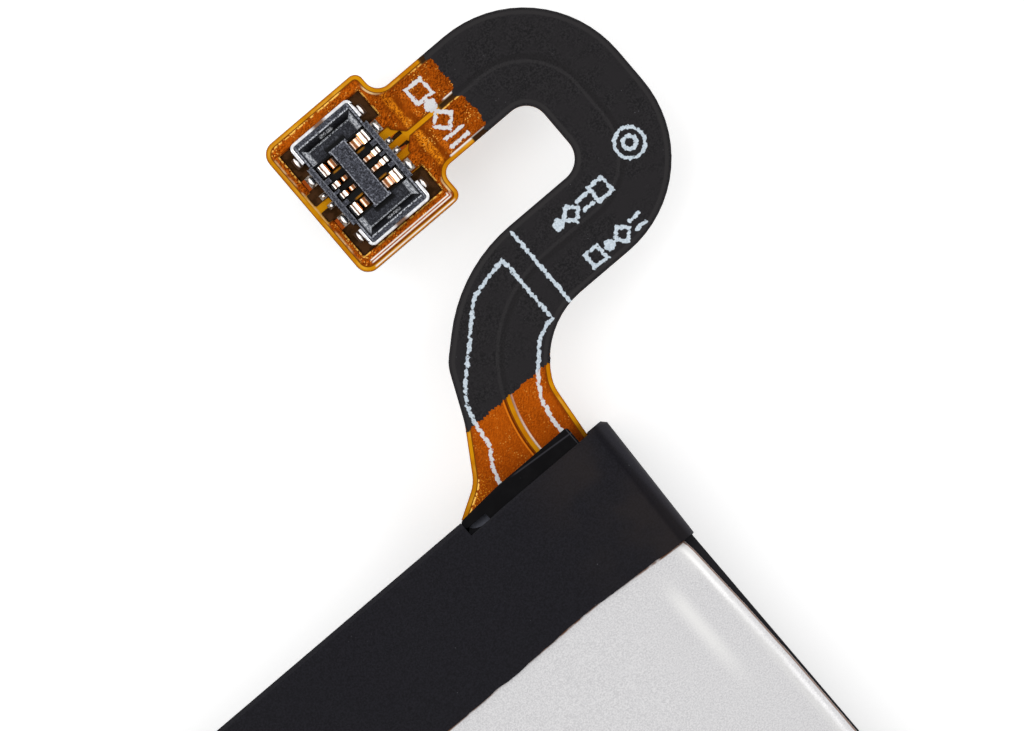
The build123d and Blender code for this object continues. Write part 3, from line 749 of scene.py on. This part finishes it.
def blackFlex():
    bm = topSheet("flex_black_front")
    tree = edgeLine(topSheet("flex_back_coverlay"))
    cutGrid(bm, flex["grid"])
    for vertex, (x, y) in zip(bm.verts, sheetPoints(bm)):
        fade = 1 - (y - ends["rootY"]) / ends["reach"]
        if x < ends["rootRight"] and 0 < fade < 1.05:
            vertex.co.y += fade * teeth(x)
        fade = 1 - (x - ends["neckX"]) / ends["reach"]
        if y > ends["neckLow"] and 0 < fade < 1.05:
            vertex.co.x += fade * neckEnd(y)
    points = sheetPoints(bm)
    edge, side = sheetFields(points, tree)
    height, _, _ = reliefAt(points, edge, side, soft=2.2)
    raiseTo(bm, flex["surface"] + flex["blackRise"] - (flex["surface"] - height) * flex["blackShare"])
    for vertex in newRim(bm):
        vertex.co.z -= flex["blackThick"]
    shift(bm, 1)
    bmesh.ops.recalc_face_normals(bm, faces=bm.faces)
    piece = addPiece("blackFlex", bm, blackFinish(), ("flex_black_front",))
    storeFields(piece, {"inkField": inkField(points), "edgeField": edge, "grooveField": side})


amberFlex()
blackFlex()
print("stage: flex is made")

# Body: pouch, head tape and the glossy strip, in mm from the head's corner; rims are measured from the middle
body = {
    "wrapLow": -4.1, "wrapSlant": 0.25, "slantStart": -4.25, "slantEnd": -0.65, "front": 4.58,
    "wave": 0.01, "waveStep": 1.3, "rimX": (21.2, 3.0), "rimY": (44.0, 4.0),
    "creaseHighlight": 20.0, "creaseTop": (-4.6, -6.2), "creaseLow": (-9.8, -6.8), "shine": 21.25, "headLip": 4.22,
    "cornerX": (20.7, 21.2), "cornerY": (-5.9, -5.0), "sideSheenX": (17.5, 20.5),
    "edgeSheenX": ((21.55, 21.75), (21.96, 21.86)),
    "tapeStep": 0.22, "tapeReach": 21.5, "tapeTeeth": 0.018, "teethRight": -0.8, "lump": (0.05, -7.6, 0.5),
}
strip = {
    "left": -5.72, "nose": 0.14, "noseLow": 0.4, "noseHigh": 0.5,
    "foldSlope": 0.074, "fold": 0.56, "seam": -1.18, "lens": ((-4.95, 0.62), (0.47, 0.27)),
    "ridgeX": (-3.6, -3.2), "seamY": (0.9, 0.8), "lipX": (-4.87, -4.91), "lipZ": (4.0, 3.95),
    "lensY": (0.2, 0.45),
}


def wrapEdge(x):
    share = np.clip((x - body["slantStart"]) / (body["slantEnd"] - body["slantStart"]), 0, 1)
    return body["wrapLow"] - body["wrapSlant"] * share


def pouchFinish():
    finish = Finish("pouchFoil", (200, 199, 200), 0.42, metal=0.25, specular=0.2)
    x, y, z = finish.places()
    across = finish.off(x, -cornerX)
    grain, weave = finish.noise(0.052, 4.0, 0.7), finish.noise(0.3, 2.0, 0.5, stretch=(1, 2.2, 1))
    # painted highlight along a crease beside the long side
    creaseHighlight = finish.within((finish.off(across, body["creaseHighlight"]), (0.45, 0.0)),
                           (y, body["creaseTop"]), (y, body["creaseLow"]))
    # painted highlight near the corner beside the tape
    corner = finish.within((across, body["cornerX"]), (y, body["cornerY"]))
    slant = finish.times(finish.ramp(x, body["slantStart"], body["slantEnd"]), body["wrapSlant"])
    fromWrap = finish.plus(finish.math("SUBTRACT", y, body["wrapLow"]), slant)
    glue = finish.times(finish.near(fromWrap, 0.03, 0.1), finish.patches(0.5, 0.25, 0.5))
    finish.paint(
        finish.tones(finish.ramp(grain, 0.36, 0.64), (194, 193, 195), (220, 219, 220)),
        (finish.ramp(weave, 0.35, 0.65), (214, 213, 214), 0.2),
        (creaseHighlight, (236, 235, 233), 0.7),
        (finish.ramp(finish.off(across, body["shine"]), 0.28, 0.0), (226, 225, 223), 0.45),
        (corner, (226, 225, 223), 0.5),
        (glue, (112, 72, 44)),
        (finish.near(z, body["headLip"], 0.12), (112, 74, 50)))
    finish.roughen(4.0, 0.36, 0.48)
    finish.bump(finish.plus(grain, finish.times(weave, 0.2)), 0.25, 0.007)
    return finish.material


def foilWave(x, y):
    swell = math.sin(x * 0.9 + 0.4 * math.sin(y * 0.31)) * math.sin(y * 0.37 + 1.0)
    return swell + 0.5 * math.sin(x * 2.3 + y)


def pouchSkin():
    bm = fromNode("pouch_cell")
    cutGrid(bm, body["waveStep"])
    (rimX, fadeX), (rimY, fadeY) = body["rimX"], body["rimY"]
    for vertex in bm.verts:
        x, y, z = vertex.co
        if z > body["front"] - 0.005:
            rim = smooth(rimX - abs(x), 0.0, fadeX) * smooth(rimY - abs(y), 0.0, fadeY)
            vertex.co.z -= body["wave"] * (1.5 + foilWave(x, y)) * float(rim)
    addPiece("pouchSkin", bm, pouchFinish(), ("pouch_cell",))


def tapeFinish():
    finish = Finish("blackTape", (18, 17, 23), 0.5, specular=0.1)
    across = finish.off(finish.places()[0], -cornerX)
    grain = finish.noise(0.06, 4.0, 0.6)
    # painted shade: faces that tilt sideways are darker
    tilted = finish.ramp(finish.off(finish.facing()[0], 0.0), 0.08, 0.35)
    # painted sheen, lighter towards the long sides, in patches
    sideSheen = finish.times(finish.ramp(across, *body["sideSheenX"]), finish.patches(2.0, 0.35, 0.65, 3.0))
    # painted reflection: a lighter band along the rounded long edges, where a side light reflects
    edgeSheen = finish.within(*[(across, side) for side in body["edgeSheenX"]])
    finish.paint(
        finish.tones(finish.ramp(grain, 0.3, 0.7), (11, 10, 15), (26, 25, 31)),
        (sideSheen, (40, 34, 33), 0.5),
        (tilted, (14, 13, 18), 0.5),
        (edgeSheen, (84, 83, 92), 0.15),
        (finish.dustAndSparkle(0.2, 0.04, 0.1, 0.9, 0.6, 0.68), (80, 80, 84)))
    finish.link(finish.ramp(tilted, 0.0, 1.0, 0.1, 0.05), "Specular IOR Level")
    finish.roughen(2.0, 0.44, 0.56)
    finish.bump(grain, 0.3, 0.006)
    return finish.material


def headTape():
    bm = fromNode("head_wrap_tape")
    cutAcross(bm, 0, list(np.arange(-body["tapeReach"], body["tapeReach"], body["tapeStep"])))
    rng = np.random.default_rng(3)
    lump, lumpX, lumpHalf = body["lump"]
    for vertex in bm.verts:
        x, y = vertex.co.x - cornerX, vertex.co.y - cornerY
        if abs(y - wrapEdge(x)) < 0.01 and vertex.co.z > 4 and x < body["teethRight"]:
            wave = rng.uniform(-1, 1) + 0.6 * math.sin(x * 2.2)
            vertex.co.y += body["tapeTeeth"] * wave - lump * math.exp(-((x - lumpX) / lumpHalf) ** 4)
    soften(addPiece("headTape", bm, tapeFinish(), ("head_wrap_tape",)), 0.05)


def stripFinish():
    finish = Finish("glossStrip", (9, 8, 10), 0.2, specular=0.06)
    x, y, z = finish.places()
    fold = finish.plus(y, finish.times(x, strip["foldSlope"]))
    # painted highlight along a fold in the strip
    ridgeHighlight = finish.times(finish.near(fold, strip["fold"], 0.035), finish.ramp(x, *strip["ridgeX"]))
    # a fine bright line across the strip near its right end
    seam = finish.times(finish.near(x, strip["seam"], 0.02), finish.ramp(y, *strip["seamY"]))
    reaches = [finish.math("DIVIDE", finish.off(place, middle), half)
               for place, (middle, half) in zip((x, y), strip["lens"])]
    lens = finish.ramp(finish.plus(*[finish.times(reach, reach) for reach in reaches]), 1.08, 0.92)
    lip = finish.within((z, strip["lipZ"]), (x, strip["lipX"]))
    lensHighlightTones = finish.tones(finish.ramp(y, *strip["lensY"]), (124, 126, 138), (88, 90, 100))
    finish.paint(
        finish.tones(finish.patches(0.6, 0.4, 0.7, 3.0), (7, 6, 8), (14, 13, 15)),
        (ridgeHighlight, (56, 55, 60), 0.8),
        (seam, (60, 59, 64)),
        # the lower lip at the left end gets a painted highlight in the shape of a lens, paler towards its
        # lower edge
        (lip, (24, 23, 28)),
        (finish.times(lens, lip), lensHighlightTones),
        (finish.dustAndSparkle(0.25, 0.05, 0.1, 0.7, 0.55, 0.62), (96, 96, 102), 0.6))
    finish.roughen(0.8, 0.16, 0.3)
    finish.bump(finish.noise(0.5, 4.0, 0.6), 0.3, 0.02)
    return finish.material


def glossStrip():
    bm = fromNode("flex_exit_strip")

    def onNose(vertex):
        x, y = vertex.co.x - cornerX, vertex.co.y - cornerY
        return abs(x - strip["left"]) < 0.01 and strip["noseLow"] < y < strip["noseHigh"]

    nose = [edge for edge in bm.edges if abs(edge.verts[0].co.z - edge.verts[1].co.z) > 0.2
            and all(onNose(vertex) for vertex in edge.verts)]
    bmesh.ops.bevel(bm, geom=nose, offset=strip["nose"], segments=5, profile=0.5, affect="EDGES", material=-1)
    soften(addPiece("glossStrip", bm, stripFinish(), ("flex_exit_strip",)), 0.04)


pouchSkin()
headTape()
glossStrip()
print("stage: body is dressed")

# Socket: its middle from the head's corner, and the level it stands on. The rest is measured from there,
# as a place, or as where a tone starts and is full.
socket = {
    "x": -0.86, "y": 11.46, "z": 2.99, "islandX": 0.285, "islandY": 1.135, "rails": (1.09, 1.23),
    "borderX": 1.1, "facetX": 0.925, "glintY": 1.7, "slotY": 1.22, "stepY": 1.565, "crestY": 1.84,
    "glimpse": (0.5, 0.57), "lowZ": (0.3, 0.2), "topZ": (0.4, 0.43),
    "pocketX": (1.1, 1.07), "pocketLow": (1.1, 1.14), "pocketHigh": (1.85, 1.82), "floorY": (1.56, 1.54),
    "slotX": (0.42, 0.38), "stepX": (0.86, 0.82), "crestX": (1.06, 1.02), "moatY": (1.13, 1.1),
    "moatInner": (0.28, 0.31), "moatOuter": (1.08, 1.05), "moatZ": (0.32, 0.2),
    "sideY": (1.15, 1.12), "tipX": (0.36, 0.33), "borderLow": (1.16, 1.2), "borderHigh": (1.92, 1.88),
}


def fromSocket(finish):
    # across and along the socket without sign, and the height over the level it stands on
    x, y, z = finish.places()
    return finish.off(x, socket["x"]), finish.off(y, socket["y"]), finish.math("SUBTRACT", z, socket["z"])


def pocketLayers(finish, across, along, height, normal):
    # the sloping pockets in the end blocks
    nx, ny, _ = normal
    pocket = finish.within((across, socket["pocketX"]), (along, socket["pocketLow"]),
                           (along, socket["pocketHigh"]))
    # painted shade on the pocket walls, and on the pocket floor below them
    wallShade = finish.times(finish.ramp(ny, 0.6, 0.8), pocket, finish.ramp(along, 1.9, 1.6, 0.5, 1.0))
    deepShade = finish.within((along, socket["floorY"]), (along, socket["pocketLow"]), (height, socket["lowZ"]))
    glint = finish.times(wallShade, finish.near(along, socket["glintY"], 0.07), finish.ramp(across, 0.3, 0.2),
                         finish.patches(0.06, 0.44, 0.54))
    # painted shade on the sloping side facets, with a painted highlight in a band along them
    facet = finish.times(finish.ramp(nx, 0.6, 0.8), pocket)
    facetHighlight = finish.tones(finish.patches(0.09, 0.38, 0.62, 3.0), (118, 122, 131), (226, 229, 234))
    return pocket, [
        (wallShade, (9, 9, 11)), (deepShade, (22, 23, 27), 0.45), (glint, (214, 216, 220)), (facet, (30, 31, 37)),
        (finish.times(facet, finish.near(across, socket["facetX"], 0.12)), facetHighlight)]


def rimHighlightMask(finish, across, along, height):
    # painted highlights on the rims of the island, the rails and the end blocks
    rimHighlights = finish.greatest(
        finish.times(finish.near(across, socket["islandX"], 0.03), finish.ramp(along, *socket["sideY"])),
        finish.times(finish.near(along, socket["islandY"], 0.03), finish.ramp(across, *socket["tipX"])),
        *[finish.times(finish.near(across, rail, 0.03), 0.4) for rail in socket["rails"]],
        finish.times(finish.near(across, socket["borderX"], 0.035),
                     finish.within((along, socket["borderLow"]), (along, socket["borderHigh"]))))
    return finish.times(rimHighlights, finish.ramp(height, *socket["topZ"]), finish.patches(0.06, 0.4, 0.54))


def socketFinish():
    finish = Finish("socketPlastic", (44, 45, 52), 0.42, specular=0.12)
    fine = finish.noise(0.045, 4.0, 0.65)
    across, along, height = fromSocket(finish)
    normal = [finish.off(part, 0.0) for part in finish.facing()]
    pocket, inPocket = pocketLayers(finish, across, along, height, normal)
    # painted highlight on bevelled edges, outside the pockets
    edge = finish.times(finish.ramp(finish.greatest(*normal), 0.99, 0.92),
                        finish.ramp(normal[2], 0.15, 0.35), finish.patches(0.07, 0.34, 0.5),
                        finish.math("SUBTRACT", 1.0, pocket))
    # painted highlights along the step and the crest of the end blocks
    low = finish.times(finish.near(along, socket["stepY"], 0.035), finish.ramp(across, *socket["stepX"]))
    high = finish.times(finish.near(along, socket["crestY"], 0.035), finish.ramp(across, *socket["crestX"]))
    # painted shade in the slots at the island's ends
    slotShade = finish.times(finish.near(along, socket["slotY"], 0.15),
                        finish.within((across, socket["slotX"]), (height, socket["lowZ"])))
    # painted shade on the floor around the contacts
    moatShade = finish.within((along, socket["moatY"]), (across, socket["moatInner"]),
                         (across, socket["moatOuter"]), (height, socket["moatZ"]))
    glimpseX, glimpseY = socket["glimpse"]
    glimpse = finish.times(moatShade, finish.near(along, glimpseY, 0.07), finish.near(across, glimpseX, 0.2))
    finish.paint(
        finish.tones(finish.ramp(fine, 0.36, 0.64), (24, 25, 30), (84, 86, 96)),
        (finish.patches(0.075, 0.56, 0.68), (136, 139, 150), 0.6),
        (finish.patches(0.1, 0.44, 0.34), (24, 24, 30), 0.7),
        *inPocket,
        (edge, (226, 229, 234)),
        (finish.times(finish.greatest(low, high), finish.patches(0.05, 0.4, 0.55)), (206, 209, 215)),
        (rimHighlightMask(finish, across, along, height), (172, 175, 184), 0.8),
        (slotShade, (5, 5, 7)),
        (moatShade, (13, 13, 15)),
        (glimpse, (214, 142, 22)))
    finish.roughen(0.4, 0.36, 0.5)
    finish.bump(fine, 0.7, 0.008)
    return finish.material


# Tones across the contacts: where the inner part and the tail start, and bands of painted shade across the
# arches as place, half width and tone
gold = {
    "inner": (0.66, 0.63), "tail": (1.2, 1.26),
    "bands": ((0.865, 0.035, (104, 56, 22)), (0.705, 0.035, (226, 150, 66)), (0.455, 0.07, (140, 84, 44))),
}


def goldFinish():
    finish = Finish("contactGold", (240, 214, 170), 0.2, metal=1.0)
    across, _, height = fromSocket(finish)
    across = finish.plus(across, finish.wander(0.1, 0.05))
    tail = finish.tones(finish.patches(0.08, 0.4, 0.6, 3.0), (70, 58, 48), (150, 140, 130))
    finish.paint(
        # painted shade and highlight by height: dark low down, bright on top
        finish.tones(finish.ramp(height, 0.12, 0.36), (66, 32, 12), (252, 246, 236)),
        (finish.ramp(across, *gold["inner"]), (208, 138, 76), 0.5),
        *[(finish.near(across, place, half), tone) for place, half, tone in gold["bands"]],
        (finish.ramp(across, *gold["tail"]), tail))
    finish.roughen(0.2, 0.15, 0.3)
    finish.bump(finish.noise(0.05, 3.0), 0.2, 0.005)
    return finish.material


# Spring contacts, as distances from the socket's middle and heights over the level it stands on
contact = {
    "outerArch": (0.85, 0.27, 0.175), "innerArch": (0.46, 0.2, 0.15), "tail": 1.5, "low": 0.06, "tip": 0.16,
    "step": 0.03, "neck": 0.72, "thickness": 0.05, "segments": 56,
    "power": (0.81, 0.41), "signal": (0.2, 0.19),
}


def contactPath():
    outer, inner, low, step = contact["outerArch"], contact["innerArch"], contact["low"], contact["step"]
    path = [(contact["tail"], low), (outer[0] + outer[2] + step, low)]
    path += arcPoints(*outer, 0, 180, 14)
    path += [(outer[0] - outer[2], low + step), ((outer[0] + inner[0]) / 2, low)]
    path += arcPoints(*inner, 0, 180, 14)
    return np.array(path + [(inner[0] - inner[2], contact["tip"])])


def ribbon(bm, side, v, width):
    # a strip bent along the contact's path
    made = bmesh.ops.create_grid(bm, x_segments=contact["segments"], y_segments=1, size=0.5)
    path = contactPath()
    steps = np.concatenate([[0.0], np.cumsum(np.hypot(*np.diff(path, axis=0).T))])
    faces = {face for vertex in made["verts"] for face in vertex.link_faces}
    for vertex in made["verts"]:
        place = (vertex.co.x + 0.5) * steps[-1]
        across = np.interp(place, steps, path[:, 0])
        share = contact["neck"] + (1 - contact["neck"]) * float(smooth(across, 0.6, 0.7))  # narrower inside
        along = math.copysign(width / 2 * share, vertex.co.y)
        vertex.co = (socket["x"] + side * across, socket["y"] + v + along,
                     socket["z"] + np.interp(place, steps, path[:, 1]))
    bmesh.ops.recalc_face_normals(bm, faces=list(faces))
    bmesh.ops.solidify(bm, geom=list(faces), thickness=contact["thickness"])


def contacts(material):
    number = {"power": 0, "signal": 0}
    for row in (1, -1):
        for kind in ("power", "signal"):
            offset, width = contact[kind]
            for side in (1, -1):
                number[kind] += 1
                name = f"{kind}_contact_{number[kind]}"
                bm = bmesh.new()
                ribbon(bm, side, row * offset, width)
                bmesh.ops.recalc_face_normals(bm, faces=bm.faces)
                shift(bm, 1)
                addPiece("spring_" + name, bm, material, (name,), sharpAngle=50)


# Solder drops on the tails and the feet, as across, half length across and height
drops = {
    "tail": (1.36, 0.115, 0.19), "foot": (1.33, 0.09, 0.17), "footAlong": 1.565, "footHalf": 0.22,
    "tailShare": 0.5, "sink": 0.01,
}


def dropFinish():
    finish = Finish("solderDrop", (220, 219, 216), 0.22, metal=1.0)
    # painted shade and highlight: darker where the drop faces sideways, brighter where it faces up
    up = finish.plus(finish.facing()[2], finish.wander(0.07, 0.7))
    finish.paint(finish.tones(finish.ramp(up, 0.1, 0.5), (110, 104, 99), (252, 251, 249)))
    finish.roughen(0.1, 0.16, 0.3)
    finish.bump(finish.noise(0.08, 2.0), 0.3, 0.006)
    return finish.material


def solderDrops():
    bm = bmesh.new()
    rng = np.random.default_rng(11)
    spots = [(row * contact[kind][0], contact[kind][1] * drops["tailShare"], drops["tail"])
             for row in (1, -1) for kind in ("power", "signal")]
    spots += [(row * drops["footAlong"], drops["footHalf"], drops["foot"]) for row in (1, -1)]
    for along, half, (across, reach, height) in spots:
        for side in (1, -1):
            drop = bmesh.ops.create_uvsphere(bm, u_segments=14, v_segments=8, radius=1.0)["verts"]
            grow = rng.uniform(0.9, 1.1, 2)
            for vertex in drop:
                vertex.co.x = socket["x"] + side * across + vertex.co.x * reach * grow[0]
                vertex.co.y = socket["y"] + along + vertex.co.y * half * grow[1]
                vertex.co.z = socket["z"] - drops["sink"] + vertex.co.z * height
    shift(bm, 1)
    addPiece("solderDrops", bm, dropFinish(), ("connector_solder_joints",))


def bracketFinish():
    finish = Finish("brightMetal", (226, 226, 228), 0.25, metal=1.0)
    x, _, z = finish.places()
    finish.paint(
        finish.tones(finish.patches(0.08, 0.4, 0.7, 3.0), (214, 214, 217), (238, 238, 239)),
        (finish.near(x, socket["x"], 0.34), (120, 92, 76)),
        (finish.ramp(z, socket["z"] + 0.3, socket["z"] + 0.1), (58, 42, 32)))
    finish.roughen(0.3, 0.2, 0.34)
    finish.bump(finish.noise(0.06, 3.0), 0.15, 0.004)
    return finish.material


plainNodes = (
    (filmFinish, "back_film"), (mouldingFinish, "pcm_holder"), (paperFinish, "terrace_insulator"),
    (aluminiumFinish, "positive_tab"), (nickelFinish, "negative_tab"), (boardFinish, "pcm_board"),
    (chipFinish, "protection_ic", "mosfet_pair", "sense_resistor"),
    (ceramicFinish, "thermistor", "ceramic_capacitors"), (solderFinish, "root_solder_joints"),
    (bareCopperFinish, "copper_power_outer", "copper_power_inner", "copper_signal_tracks"),
    (backBlackFinish, "flex_black_back"),
)
for material, *names in plainNodes:
    for nodeName in names:
        nodes[nodeName].data.materials.clear()
        nodes[nodeName].data.materials.append(material)

contacts(goldFinish())
solderDrops()
bright = bracketFinish()
softNodes = {
    "connector_stiffener": (stiffenerFinish, "stiffener_plate", 0.03),
    "connector_housing": (socketFinish(), "socket_plastic", 0.034),
    "hold_down_upper": (bright, "bright_metal", 0.03),
    "hold_down_lower": (bright, "bright_metal", 0.03),
}
for nodeName, (material, slotName, width) in softNodes.items():
    soften(addPiece("soft_" + nodeName, fromNode(nodeName), material, (nodeName,)), width)
print("stage: the socket and the other pieces are dressed")
